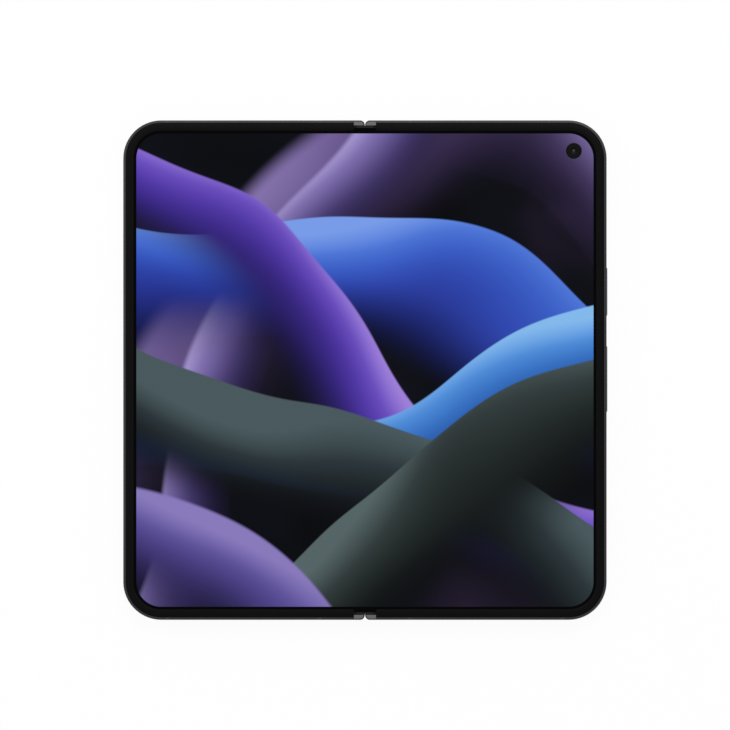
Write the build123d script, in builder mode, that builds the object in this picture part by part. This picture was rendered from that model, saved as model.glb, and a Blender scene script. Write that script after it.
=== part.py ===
"""Book-style folding phone, lying open on its back with the inner display up.

+X runs to the right and +Y to the top as the inner display is read, +Z leaves the display.
Z = 0 is the surface it lies on, touched by the camera rings, and the origin is the middle of
the hinge. Both halves turn up about two parallel axes beside the hinge's centre line.
"""

from build123d import *
import os
from math import acos, atan2, cos, degrees, hypot, pi, radians, sin, sqrt, tan

os.makedirs("parts", exist_ok=True)

# ---------------------------------------------------------------- driving dimensions (mm)
# Whole phone
open_width = 150.2
open_height = 155.2
body_thickness = 5.1
corner_radius = 11.8
seam_gap = 0.10  # between the two halves' lips, phone open
folded_gap = 0.30  # between the two bezels, phone closed
running_gap = 0.10  # between pieces that move past each other
fit_gap = 0.05  # between pieces that are bonded or dropped in

# Frame
rim_width = 0.8  # metal seen round the front
side_wall = 2.0
front_edge_radius = 0.6
back_edge_radius = 0.9
hinge_corner_radius = 1.5
midplate_thickness = 0.70
back_inset = 1.0  # from the frame's outside to the back or cover glass
back_glass_thickness = 0.70
panel_bay_depth = 0.30  # behind the glass, for the cover panel or the coil
rail_width = 9.9  # solid rail that carries the hinge arms
rail_start = 4.1  # from the centre line
board_boss_radius = 1.2

# Display and bezel
display_inset = 2.4
display_thickness = 0.64
display_depth = 0.26  # display's front face below the bezel's top
fold_zone = 13.0  # half width of the display that bends
bezel_inset = 0.85
bezel_leg = 1.45
bezel_width = 2.40
flange_thickness = 0.22
bezel_start = 3.5  # bezel's ends, from the centre line

# Hinge
fold_x = 1.10  # fold axes, either side of the centre line
spine_radius = 3.10
spine_wall = 0.40
spine_clearance = 0.15
end_wall = 1.6  # frame beyond the spine's ends
spine_cap = 0.60
cap_tab = 2.65  # half width of the end cap's raised tab
wing_thickness = 0.25
wing_start = 1.5
wing_tilt = 4.5  # degrees at full fold
wing_bead_radius = 0.22
centre_plate_half = 1.0
centre_plate_thickness = 0.20
centre_plate_drop = 0.5
module_margin = 7.6  # beyond each hinge module, to the spine's end
arm_width = 4.8
tongue_radius = 1.75
tongue_thickness = 0.60
tongue_back_angle = 45.0
arm_plate_thickness = 0.60
arm_plate_end = 12.0
bridge_thickness = 0.35
module_wall = 1.2  # walls between the module's slots
gear_width = 3.2
gear_module = 0.1
idler_teeth = 17
sector_teeth = 14
idler_drop = 1.70  # idler centres below the fold axes
sync_blade_end = 9.0
sync_blade_thickness = 0.40
pin_radius = 0.25
spring_bay = 6.0
spring_radius = 0.55
spring_rings = 9
ear_length = 3.2
ear_thickness = 0.50

# Camera island on the back
island_height = 2.4
island_size = 30.0
island_radius = 8.0
island_edge = 4.0  # from the frame's outside
ring_height = 0.35
camera_glass_thickness = 0.45
window_margin = 1.0
ring_width = 0.6
lens_radius = 4.6
lens_spacing = 14.0
lens_wall = 0.25
camera_block = 11.4
flash_radius = 1.4

# Openings and keys in the frame
port_width = 8.84
port_height = 3.06
port_wall = 0.25
port_depth = 7.0
port_recess = 0.8
tongue_width = 6.65
power_length = 14.95
power_from_top = 53.2
volume_length = 20.5
volume_from_top = 80.4
key_height = 1.9
key_proud = 0.30
key_depth = 1.45
plunger_radius = 0.5
tray_door_length = 14.2
tray_door_height = 1.9
tray_door_depth = 1.0
tray_width = 12.6
tray_length = 17.0
tray_thickness = 1.1
tray_centre = -25.0
card_width = 8.8
card_length = 12.3
hole_radius = 2.5  # camera hole in the inner display
hole_edge_x = 10.2  # hole's centre from the frame's outside
hole_edge_y = 9.5
antenna_width = 1.2

# Inside
bottom_bay = 15.5  # speaker, socket and motor below the battery
board_bay = 69.7  # boards and cameras above the battery
battery_side = 2.1  # from the battery to the side wall
coil_outer = 22.0
coil_inner = 12.0
coil_thickness = 0.18
board_thickness = 0.6
board_height = 1.7  # above the back face
magnet_length = 14.0
magnet_width = 1.3
flex_half_width = 9.0
flex_thickness = 0.12

# ---------------------------------------------------------------- levels and places
# Heights are measured up from the back face, which the camera island lifts off the table.
back_z = island_height
axis_height = body_thickness + folded_gap / 2 - fold_x
half_width = open_width / 2
half_height = open_height / 2
hinge_edge = seam_gap / 2

cavity_radius = spine_radius + spine_clearance
spine_bay = half_height - end_wall
cap_outer = spine_bay - spine_clearance
cap_inner = cap_outer - spine_cap
spine_end = cap_inner - fit_gap
closed_end_height = axis_height - (fold_x - hinge_edge)
spine_top = closed_end_height - spine_clearance

display_top = body_thickness - display_depth
display_bottom = display_top - display_thickness
seat_height = display_bottom - fit_gap
cavity_top = seat_height - midplate_thickness
panel_bay_top = back_glass_thickness + panel_bay_depth
rail_end = rail_start + rail_width

wing_top = seat_height
wing_bottom = wing_top - wing_thickness
wing_pivot_height = wing_top - wing_bead_radius
wing_drop = (fold_zone - wing_start) * tan(radians(wing_tilt))
wing_floor_inner = wing_bottom - wing_drop + running_gap / 2
wing_floor_outer = wing_bottom - fit_gap
wing_bay_end = fold_zone + 0.4
plate_top = wing_top - 0.01
plate_bottom = plate_top - centre_plate_thickness
mechanism_top = plate_bottom - centre_plate_drop - 0.04

hole_x = half_width - hole_edge_x
hole_y = half_height - hole_edge_y
island_x = half_width - island_edge - island_size / 2
island_y = half_height - island_edge - island_size / 2 + 0.5
port_x = half_width / 2
port_z = cavity_top - 1.0
key_z = body_thickness / 2
power_centre = half_height - power_from_top
volume_centre = half_height - volume_from_top
tray_z = 2.3


def level(height):
    """Horizontal plane at a height above the back face."""
    return Plane.XY.offset(back_z + height)


def cross_section(y):
    """Upright plane across the hinge, X to the right and world Z up, at a place along Y."""
    return Plane.XZ.offset(-y)


def side_section(x):
    """Upright plane along the hinge, Y to the right and world Z up, at a place along X."""
    return Plane.YZ.offset(x)


def half_outline(inset, start, inner_radius=0):
    """Right half of the phone's rounded outline, drawn in from the edge."""
    width = half_width - inset - start
    with Locations((start + width / 2, 0)):
        Rectangle(width, open_height - 2 * inset)
    fillet(vertices().group_by(Axis.X)[-1], max(corner_radius - inset, 0.5))
    if inner_radius:
        fillet(vertices().group_by(Axis.X)[0], inner_radius)


def block(x_range, y_range, z_range, mode=Mode.ADD):
    """Box between pairs of coordinates, heights above the back face."""
    size = [high - low for low, high in (x_range, y_range, z_range)]
    centre = [(high + low) / 2 for low, high in (x_range, y_range, z_range)]
    with Locations((centre[0], centre[1], back_z + centre[2])):
        Box(*size, mode=mode)


def upright(x, y, radius, z_range, mode=Mode.ADD):
    """Cylinder along Z between two heights above the back face."""
    with Locations((x, y, back_z + sum(z_range) / 2)):
        Cylinder(radius, z_range[1] - z_range[0], mode=mode)


def along_y(x, height, radius, y_range, mode=Mode.ADD):
    """Cylinder along Y, at a height above the back face."""
    with Locations((x, sum(y_range) / 2, back_z + height)):
        Cylinder(radius, abs(y_range[1] - y_range[0]), rotation=(90, 0, 0), mode=mode)


def save(piece, name):
    """Label a finished piece and write it under its own name."""
    piece.part.label = name
    export_step(piece.part, f"parts/{name}.step")


def save_mirrored(piece, name):
    """Write the left-hand copy of a right-hand piece."""
    with BuildPart() as copy:
        mirror(piece.part, about=Plane.YZ)
    save(copy, name)


# ---------------------------------------------------------------- hinge layout along Y
# Each module is a row of slots: right arm, left arm, gears, springs, then an end block.
# Places in the row are measured outward from the module's start.
slot_width = arm_width + 2 * fit_gap
arm_places = [module_wall, 2 * module_wall + slot_width]  # right arm, then left arm
gear_place = 3 * module_wall + 2 * slot_width
gear_bay = gear_width + 0.3
spring_place = gear_place + gear_bay + module_wall
module_length = spring_place + spring_bay + 1.25 * module_wall
module_start = spine_end - module_margin - module_length
guide_place = module_length - 0.625 * module_wall
notch_end = gear_place + gear_bay + 0.5
module_sides = [1, -1]  # upper and lower module
module_names = {1: "top", -1: "bottom"}

idler_x = gear_module * idler_teeth / 2
idler_height = axis_height - idler_drop
gear_reach = gear_module * (idler_teeth + sector_teeth) / 2
# The sector's centre lies where it meshes with the idler and clears the spine's wall.
sector_lean = radians(20)
sector_x = idler_x + gear_reach * cos(sector_lean)
sector_height = idler_height + gear_reach * sin(sector_lean)


def row(side, start, end):
    """World Y range of a stretch of a hinge module."""
    near, far = side * (module_start + start), side * (module_start + end)
    return (min(near, far), max(near, far))


# ---------------------------------------------------------------- spine cover and end caps
def spine_face(radius, top):
    """Cross-section of the spine: two arcs joined by a flat floor, cut off at a height."""
    with Locations((fold_x, back_z + axis_height), (-fold_x, back_z + axis_height)):
        Circle(radius)
    with Locations((0, back_z + axis_height - radius / 2)):
        Rectangle(2 * fold_x, radius)
    depth = 2 * radius
    with Locations((0, back_z + top - depth / 2)):
        Rectangle(4 * (fold_x + radius), depth, mode=Mode.INTERSECT)


spine_floor = axis_height - spine_radius + spine_wall
ear_bottom = spine_floor + 0.6
ear_places = [-ear_length / 2, module_length + ear_length / 2]

with BuildPart() as spine_cover:
    with BuildSketch(Plane.XZ):
        spine_face(spine_radius, spine_top)
    extrude(amount=spine_end, both=True)
    with BuildSketch(Plane.XZ):
        spine_face(spine_radius - spine_wall, spine_top + 1)
    extrude(amount=spine_end + 1, both=True, mode=Mode.SUBTRACT)
    # Threaded bosses that the hinge brackets are screwed to.
    for side in module_sides:
        for place in ear_places:
            y = side * (module_start + place)
            boss = (spine_floor - spine_wall / 2, ear_bottom - 0.05)
            upright(0, y, 1.1, boss)
            upright(0, y, 0.55, (spine_floor + 0.02, ear_bottom), mode=Mode.SUBTRACT)
save(spine_cover, "spine_cover")

with BuildPart() as spine_end_caps:
    for side in module_sides:
        with BuildSketch(cross_section(side * (cap_inner + cap_outer) / 2)):
            spine_face(spine_radius, spine_top)
            with Locations((0, back_z + (spine_top + display_top) / 2 - 0.2)):
                Rectangle(2 * cap_tab, display_top - spine_top + 0.4)
        extrude(amount=spine_cap / 2, both=True)
save(spine_end_caps, "spine_end_caps")


# ---------------------------------------------------------------- hinge brackets
bracket_radius = spine_radius - spine_wall - fit_gap
bracket_shoulder = sector_x + spring_radius  # full height inside, spine height outside
slot_inner = tongue_radius - fit_gap
slot_outer = tongue_radius + tongue_thickness + fit_gap
slot_back_angle = tongue_back_angle + 6
slot_front_angle = 150


def ring_sector(plane, centre_x, inner, outer, start_angle, sweep):
    """Part of a ring about a fold axis, angles from straight down toward the near side."""
    turn = 1 if centre_x > 0 else -1
    centre_z = back_z + axis_height

    def point(radius, angle):
        a = radians(angle)
        return (centre_x + turn * radius * sin(a), centre_z - radius * cos(a))

    end_angle = start_angle + sweep
    middle = start_angle + sweep / 2
    with BuildSketch(plane) as ring:
        with BuildLine():
            ThreePointArc(point(outer, start_angle), point(outer, middle), point(outer, end_angle))
            Line(point(outer, end_angle), point(inner, end_angle))
            ThreePointArc(point(inner, end_angle), point(inner, middle), point(inner, start_angle))
            Line(point(inner, start_angle), point(outer, start_angle))
        make_face()
    return ring.sketch


def bracket(side):
    """One hinge bracket: its arc slots hold the arms, its walls carry pins and springs."""
    with BuildPart() as body:
        y0, y1 = row(side, 0, module_length)
        with BuildSketch(cross_section((y0 + y1) / 2)):
            spine_face(bracket_radius, mechanism_top)
            for turn in (1, -1):
                edge = turn * (bracket_shoulder + 5)
                with Locations((edge, back_z + spine_top + 5)):
                    Rectangle(10, 10, mode=Mode.SUBTRACT)
        extrude(amount=module_length / 2, both=True)
        # Arc slots, right arm first.
        for turn, place in zip((1, -1), arm_places):
            a0, a1 = row(side, place, place + slot_width)
            plane = cross_section((a0 + a1) / 2)
            angles = (-slot_back_angle, slot_front_angle)
            slot = ring_sector(plane, turn * fold_x, slot_inner, slot_outer, *angles)
            extrude(slot, amount=slot_width / 2, both=True, mode=Mode.SUBTRACT)
        # Gear bay, open below and above.
        g0, g1 = row(side, gear_place, gear_place + gear_bay)
        bay_half = idler_x + gear_module * (idler_teeth / 2 + 1) + fit_gap
        block((-bay_half, bay_half), (g0, g1), (0, body_thickness), Mode.SUBTRACT)
        sector_clear = gear_module * (sector_teeth / 2 + 1) + fit_gap
        for turn in (1, -1):
            along_y(turn * sector_x, sector_height, sector_clear, (g0, g1), Mode.SUBTRACT)
            reach = sorted((turn * idler_x, turn * 6))
            block(reach, (g0, g1), (sector_height - fit_gap, body_thickness), Mode.SUBTRACT)
        # Spring bays round the two outer pins.
        s0, s1 = row(side, spring_place, spring_place + spring_bay)
        for turn in (1, -1):
            clear = spring_radius + running_gap
            along_y(turn * sector_x, sector_height, clear, (s0, s1), Mode.SUBTRACT)
            near, far = sorted((turn * (sector_x - clear), turn * (sector_x + clear)))
            block((near, far), (s0, s1), (sector_height, body_thickness), Mode.SUBTRACT)
        # Bores for the pins, and for the centre plate's guide post.
        for turn in (1, -1):
            bore = pin_radius + 0.02
            i0, i1 = row(side, gear_place - 0.75 * module_wall, gear_place + gear_bay + 0.9)
            along_y(turn * idler_x, idler_height, bore, (i0, i1), Mode.SUBTRACT)
            p0, p1 = row(side, gear_place - 0.75 * module_wall, module_length + 0.1)
            along_y(turn * sector_x, sector_height, bore, (p0, p1), Mode.SUBTRACT)
        guide_y = side * (module_start + guide_place)
        upright(0, guide_y, 0.38, (spine_floor + 0.3, mechanism_top + 0.1), Mode.SUBTRACT)
        # Ears at both ends, one screw each.
        for place, join in zip(ear_places, (0.3, -0.3)):
            inner_end = place - ear_length / 2 + min(join, 0)
            e0, e1 = row(side, inner_end, inner_end + ear_length + abs(join))
            block((-2.0, 2.0), (e0, e1), (ear_bottom, ear_bottom + ear_thickness))
            upright(0, side * (module_start + place), 0.6, (0, body_thickness), Mode.SUBTRACT)
    return body


for side in module_sides:
    save(bracket(side), f"hinge_bracket_{module_names[side]}")

with BuildPart() as bracket_screws:
    for side in module_sides:
        for place in ear_places:
            y = side * (module_start + place)
            top = ear_bottom + ear_thickness
            upright(0, y, 0.5, (spine_floor + 0.05, top + 0.1))
            upright(0, y, 1.0, (top, top + 0.35))
            with BuildSketch(level(top + 0.35)):
                with Locations((0, y)):
                    RegularPolygon(0.45, 6)
            extrude(amount=-0.2, mode=Mode.SUBTRACT)
save(bracket_screws, "bracket_screws")

with BuildPart() as hinge_pins:
    for side in module_sides:
        for turn in (1, -1):
            i0, i1 = row(side, gear_place - 0.7 * module_wall, gear_place + gear_bay + 0.8)
            along_y(turn * idler_x, idler_height, pin_radius, (i0, i1))
            p0, p1 = row(side, gear_place - 0.7 * module_wall, module_length)
            along_y(turn * sector_x, sector_height, pin_radius, (p0, p1))
save(hinge_pins, "hinge_pins")


# Friction springs: stacks of dished rings on the outer pins, each one turned profile.
with BuildPart() as friction_springs:
    ring_pitch = (spring_bay - 0.2) / spring_rings
    for side in module_sides:
        s0, s1 = row(side, spring_place + 0.1, spring_place + spring_bay - 0.1)
        for turn in (1, -1):
            axis_line = Axis((turn * sector_x, 0, back_z + sector_height), (0, 1, 0))
            with BuildSketch(Plane.XY.offset(back_z + sector_height)):
                with BuildLine():
                    inner = turn * sector_x + pin_radius + 0.03
                    valley = turn * sector_x + spring_radius - 0.12
                    crest = turn * sector_x + spring_radius
                    outline = [(inner, s0), (valley, s0)]
                    for ring in range(spring_rings):
                        outline += [
                            (crest, s0 + (ring + 0.5) * ring_pitch),
                            (valley, s0 + (ring + 1) * ring_pitch),
                        ]
                    Polyline(*outline, (inner, s1), close=True)
                make_face()
            revolve(axis=axis_line)
save(friction_springs, "friction_springs")


# ---------------------------------------------------------------- geared timing arms
def facing_tooth(own_teeth, own_centre, mate_teeth, mate_centre, mate_tooth):
    """Angle of a tooth that meshes: this gear has a gap where its mate has a tooth."""
    toward_mate = degrees(atan2(mate_centre[1] - own_centre[1], mate_centre[0] - own_centre[0]))
    mate_phase = (toward_mate + 180 - mate_tooth) * mate_teeth / 360
    return toward_mate - (0.5 - mate_phase) * 360 / own_teeth


def gear_face(plane, centre, teeth, first_tooth, count):
    """Bored disc with straight-flanked teeth, all round or over part of its rim."""
    pitch_radius = gear_module * teeth / 2
    root = pitch_radius - tooth_root
    slope = tan(radians(20))
    pitch_half = pi * gear_module / 4 - tooth_play
    root_half = pitch_half + tooth_root * slope
    tip_half = pitch_half - gear_module * slope
    tip = pitch_radius + gear_module
    foot = sqrt(root**2 - root_half**2) - 0.02
    corners = [(foot, -root_half), (tip, -tip_half), (tip, tip_half), (foot, root_half)]
    with BuildSketch(plane) as face:
        with Locations((centre[0], back_z + centre[1])):
            Circle(root)
            with PolarLocations(0, count, first_tooth, 360 * count / teeth):
                Polygon(*corners, align=None)
            Circle(pin_radius + bore_play, mode=Mode.SUBTRACT)
    return face.sketch


tooth_root = 1.2 * gear_module
tooth_play = 0.012
bore_play = 0.03
idler_centres = {1: (idler_x, idler_height), -1: (-idler_x, idler_height)}
sector_centres = {1: (sector_x, sector_height), -1: (-sector_x, sector_height)}
side_names = {1: "right", -1: "left"}
idler_tooth = {1: 180.0}
idler_tooth[-1] = facing_tooth(
    idler_teeth, idler_centres[-1], idler_teeth, idler_centres[1], idler_tooth[1]
)
gear_middle = gear_place + gear_bay / 2
sector_start = 84.0  # first tooth of the right arm, clear of its blade
sector_span = 142.0  # teeth from the idler at rest round to the idler when closed
blade_bottom = spine_top + running_gap
blade_top = blade_bottom + sync_blade_thickness

for turn in (1, -1):
    with BuildPart() as idler_gear:
        for side in module_sides:
            plane = cross_section(side * (module_start + gear_middle))
            face = gear_face(plane, idler_centres[turn], idler_teeth, idler_tooth[turn], idler_teeth)
            extrude(face, amount=gear_width / 2, both=True)
    save(idler_gear, f"idler_gear_{side_names[turn]}")

    tooth_step = 360 / sector_teeth
    meshing = facing_tooth(
        sector_teeth, sector_centres[turn], idler_teeth, idler_centres[turn], idler_tooth[turn]
    )
    # The toothed stretch starts above the hub and runs down on the side of the idler.
    stretch_start = sector_start if turn > 0 else 180.0 - sector_start - sector_span
    first_tooth = meshing + tooth_step * -((meshing - stretch_start) // tooth_step)
    tooth_count = int((stretch_start + sector_span - first_tooth) // tooth_step) + 1
    with BuildPart() as sync_arm:
        for side in module_sides:
            plane = cross_section(side * (module_start + gear_middle))
            face = gear_face(plane, sector_centres[turn], sector_teeth, first_tooth, tooth_count)
            extrude(face, amount=gear_width / 2, both=True)
            along = row(side, gear_middle - gear_width / 2, gear_middle + gear_width / 2)
            reach = sorted((turn * sector_x, turn * sync_blade_end))
            block(reach, along, (blade_bottom, blade_top))
            bore = pin_radius + bore_play
            along_y(turn * sector_x, sector_height, bore, along, Mode.SUBTRACT)
    save(sync_arm, f"sync_arm_{side_names[turn]}")


# ---------------------------------------------------------------- swing arms
bridge_bottom = spine_top + running_gap
bridge_top = bridge_bottom + bridge_thickness
arm_plate_bottom = bridge_bottom - 0.5
arm_plate_top = arm_plate_bottom + arm_plate_thickness
arm_root = fold_x + cavity_radius + running_gap
tongue_middle = tongue_radius + tongue_thickness / 2
tongue_front_angle = degrees(acos((axis_height - bridge_top) / tongue_middle))
arm_screw_places = [arm_root + 2.2, arm_plate_end - 1.5]
screw_head = 0.85
screw_shank = 0.45
arm_middle = {1: arm_places[0] + slot_width / 2, -1: arm_places[1] + slot_width / 2}


def swing_arms(turn):
    """Both modules' arms of one half: an arc tongue, a bridge over the spine and a plate."""
    with BuildPart() as arms:
        for side in module_sides:
            plane = cross_section(side * (module_start + arm_middle[turn]))
            tongue_outer = tongue_radius + tongue_thickness
            sweep = tongue_back_angle + tongue_front_angle
            tongue = ring_sector(
                plane, turn * fold_x, tongue_radius, tongue_outer, -tongue_back_angle, sweep
            )
            extrude(tongue, amount=arm_width / 2, both=True)
            along = row(side, arm_middle[turn] - arm_width / 2, arm_middle[turn] + arm_width / 2)
            over = (bridge_top, bridge_top + 2)
            block(sorted((0, turn * 2 * arm_root)), along, over, Mode.SUBTRACT)
            bridge = sorted((turn * (fold_x + tongue_radius), turn * (arm_root + 0.7)))
            block(bridge, along, (bridge_bottom, bridge_top))
            step = sorted((turn * arm_root, turn * (arm_root + 0.7)))
            block(step, along, (arm_plate_bottom, bridge_top))
            plate = sorted((turn * arm_root, turn * arm_plate_end))
            block(plate, along, (arm_plate_bottom, arm_plate_top))
            for x in arm_screw_places:
                spots = [(turn * x, sum(along) / 2, back_z + arm_plate_top)]
                with Locations(*spots):
                    CounterSinkHole(screw_shank + fit_gap, screw_head + fit_gap)
    return arms


def arm_screws(turn):
    """Countersunk screws, flush with the arm's plate and threaded into the rail."""
    with BuildPart() as screws:
        for side in module_sides:
            y = side * (module_start + arm_middle[turn])
            for x in arm_screw_places:
                cone = screw_head - screw_shank
                with BuildSketch(Plane.XZ.offset(-y)):
                    with BuildLine():
                        Polyline(
                            (turn * x, back_z + arm_plate_bottom - 1.0),
                            (turn * x + screw_shank, back_z + arm_plate_bottom - 1.0),
                            (turn * x + screw_shank, back_z + arm_plate_top - cone),
                            (turn * x + screw_head, back_z + arm_plate_top),
                            (turn * x, back_z + arm_plate_top),
                            close=True,
                        )
                    make_face()
                revolve(axis=Axis((turn * x, y, 0), (0, 0, 1)))
                upright(turn * x, y, 0.3, (arm_plate_top - 0.25, arm_plate_top), Mode.SUBTRACT)
    return screws


for turn in (1, -1):
    save(swing_arms(turn), f"{side_names[turn]}_swing_arms")
    save(arm_screws(turn), f"{side_names[turn]}_arm_screws")


# ---------------------------------------------------------------- plates under the fold
wing_half_length = spine_end - 0.2
wing_notch = 7.2

with BuildPart() as wing_plate_right:
    block((wing_start, fold_zone), (-wing_half_length, wing_half_length), (wing_bottom, wing_top))
    beads = (-wing_half_length, wing_half_length)
    along_y(fold_zone, wing_pivot_height, wing_bead_radius, beads)
    for side in module_sides:
        notch = row(side, module_wall / 2, notch_end)
        block((0, wing_notch), notch, (wing_bottom - 1, wing_top + 1), Mode.SUBTRACT)
save(wing_plate_right, "wing_plate_right")
save_mirrored(wing_plate_right, "wing_plate_left")

guide_radius = 0.3
with BuildPart() as centre_plate:
    width = (-centre_plate_half, centre_plate_half)
    block(width, (-wing_half_length, wing_half_length), (plate_bottom, plate_top))
    for side in module_sides:
        post = (plate_bottom - 1.5, plate_bottom + 0.05)
        upright(0, side * (module_start + guide_place), guide_radius, post)
save(centre_plate, "centre_plate")

# ---------------------------------------------------------------- frames
back_start = 4.0
panel_start = 5.0
groove_gap = 0.05
insert_inset = 0.38
insert_end = 3.4
insert_bottom = 3.9
band_depth = rim_width - 0.1
band_places = [14.0, half_width - corner_radius - 2.0]
pocket_x = half_width - side_wall
pocket_y = half_height - side_wall
rib_width = 0.6
rib_gap = 0.3
battery_y0 = -pocket_y + bottom_bay
battery_y1 = pocket_y - board_bay
battery_x0 = rail_end + 1.0
battery_x1 = pocket_x - battery_side
left_battery_y0 = -half_height + tray_door_depth + tray_length + 6.0
left_battery_y1 = half_height - 27.0
board_top = board_height + board_thickness


def across(turn, near, far):
    """X range on the right (1) or left (-1) half, from distances off the centre line."""
    return tuple(sorted((turn * near, turn * far)))


def insert_outline(turn, side, grow):
    """Metal insert in the frame's end beside the hinge, its outer corner rounded."""
    x0 = hinge_edge + insert_inset - grow
    x1 = insert_end + grow
    y0 = spine_bay + 0.02 - grow
    y1 = half_height - insert_inset + grow
    with Locations((turn * (x0 + x1) / 2, side * (y0 + y1) / 2)):
        Rectangle(x1 - x0, y1 - y0)
    corner = vertices().sort_by_distance((turn * x0, side * y1, 0))[0]
    fillet(corner, hinge_corner_radius - insert_inset)


with BuildPart() as outer_half:
    with BuildSketch(level(0)):
        RectangleRounded(open_width, open_height, corner_radius)
    extrude(amount=body_thickness)
    fillet(faces().sort_by(Axis.Z)[-1].edges(), front_edge_radius)
    fillet(faces().sort_by(Axis.Z)[0].edges(), back_edge_radius)
    with BuildSketch(level(0)):
        with Locations(((hinge_edge + half_width + 1) / 2, 0)):
            Rectangle(half_width + 1 - hinge_edge, open_height)
        fillet(vertices().group_by(Axis.X)[0], hinge_corner_radius)
    extrude(amount=body_thickness, mode=Mode.INTERSECT)

# The front edges beside the hinge are rounded about the fold axes, so the halves roll past
# each other.
with BuildPart() as fold_relief:
    with BuildSketch(Plane.XZ):
        with Locations((fold_x / 2, back_z + axis_height + body_thickness / 2)):
            Rectangle(fold_x, body_thickness)
        with Locations((fold_x, back_z + axis_height)):
            Circle(fold_x - hinge_edge, mode=Mode.SUBTRACT)
    extrude(amount=half_height + 1, both=True)

with BuildPart() as half_blank:
    add(outer_half.part)
    add(fold_relief.part, mode=Mode.SUBTRACT)
    # Seats for the glass and for the panel behind it.
    with BuildSketch(level(0)):
        half_outline(back_inset, back_start, 0.5)
    extrude(amount=back_glass_thickness, mode=Mode.SUBTRACT)
    with BuildSketch(level(back_glass_thickness)):
        half_outline(side_wall, panel_start, 0.5)
    extrude(amount=panel_bay_depth, mode=Mode.SUBTRACT)
    with BuildSketch(level(panel_bay_top)):
        half_outline(side_wall, rail_end, 1.0)
    extrude(amount=cavity_top - panel_bay_top, mode=Mode.SUBTRACT)
    # Front recess for the display and its bezel, open toward the hinge.
    with BuildSketch(level(seat_height)):
        half_outline(rim_width, bezel_start)
    extrude(amount=body_thickness - seat_height, mode=Mode.SUBTRACT)
    block((0, bezel_start + 1), (-spine_bay, spine_bay), (seat_height, body_thickness), Mode.SUBTRACT)
    # Hollow that clears the spine while the half turns about its axis.
    with BuildSketch(Plane.XZ):
        with Locations((fold_x, back_z + axis_height)):
            Circle(cavity_radius)
        with Locations((fold_x / 2, back_z + axis_height)):
            Rectangle(fold_x, 2 * cavity_radius)
    extrude(amount=spine_bay, both=True, mode=Mode.SUBTRACT)
    # Bay with a sloping floor, into which the wing plate tilts.
    slope_start = fold_x + cavity_radius
    with BuildSketch(Plane.XZ):
        with BuildLine():
            Polyline(
                (fold_x, back_z + wing_floor_inner),
                (slope_start, back_z + wing_floor_inner),
                (wing_bay_end, back_z + wing_floor_outer),
                (wing_bay_end, back_z + seat_height + 0.1),
                (fold_x, back_z + seat_height + 0.1),
                close=True,
            )
        make_face()
    extrude(amount=wing_half_length + 0.3, both=True, mode=Mode.SUBTRACT)
    groove = (-wing_half_length - 0.3, wing_half_length + 0.3)
    along_y(fold_zone, wing_pivot_height, wing_bead_radius + groove_gap, groove, Mode.SUBTRACT)
    # Slot in the rail for the flex between the two boards.
    flex_bay = (bridge_bottom - 0.15, seat_height - 0.2)
    flex_width = (-flex_half_width - 0.5, flex_half_width + 0.5)
    block((slope_start - 0.6, rail_end + 0.1), flex_width, flex_bay, Mode.SUBTRACT)
    for side in module_sides:
        with BuildSketch(level(insert_bottom)):
            insert_outline(1, side, 0.03)
        extrude(amount=body_thickness, mode=Mode.SUBTRACT)

# Radio bands: plastic strips let into the outside of the frame, above and below.
with BuildPart() as antenna_bands:
    for side in module_sides:
        for x in band_places:
            ends = sorted((side * (half_height - band_depth), side * (half_height + 1)))
            band = (x - antenna_width / 2, x + antenna_width / 2)
            block(band, ends, (-1, body_thickness + 1))
    add(outer_half.part, mode=Mode.INTERSECT)


def hinge_pockets(turn):
    """Room in one half's rail for its swing arms and for the timing arms' blades."""
    for side in module_sides:
        place = arm_middle[turn]
        along = row(side, place - arm_width / 2 - fit_gap, place + arm_width / 2 + fit_gap)
        room = across(turn, arm_root - 0.8, arm_plate_end + running_gap)
        block(room, along, (arm_plate_bottom - fit_gap, seat_height - 0.4), Mode.SUBTRACT)
        for x in arm_screw_places:
            y = sum(along) / 2
            hole = (arm_plate_bottom - 1.1, arm_plate_bottom)
            upright(turn * x, y, screw_shank + 0.02, hole, Mode.SUBTRACT)
        along = row(side, gear_place, gear_place + gear_bay)
        room = across(turn, arm_root - 0.9, sync_blade_end + 0.3)
        floor = blade_bottom - sync_dip - running_gap
        block(room, along, (floor, seat_height - 0.4), Mode.SUBTRACT)


# Half way through the fold the timing arm's blade has sunk by this much into its half.
axis_reach = hypot(sector_x - fold_x, axis_height - sector_height)
axis_lean = atan2(axis_height - sector_height, sector_x - fold_x)
sync_dip = axis_reach - (axis_height - sector_height) if axis_lean > 0 else 0

key_pocket_gap = 0.30
key_pocket_x = half_width - key_depth - key_pocket_gap
front_barrel = hole_radius - 0.3
speaker_holes = 6
speaker_pitch = 1.8
speaker_x = half_width - corner_radius - 10.0

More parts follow.
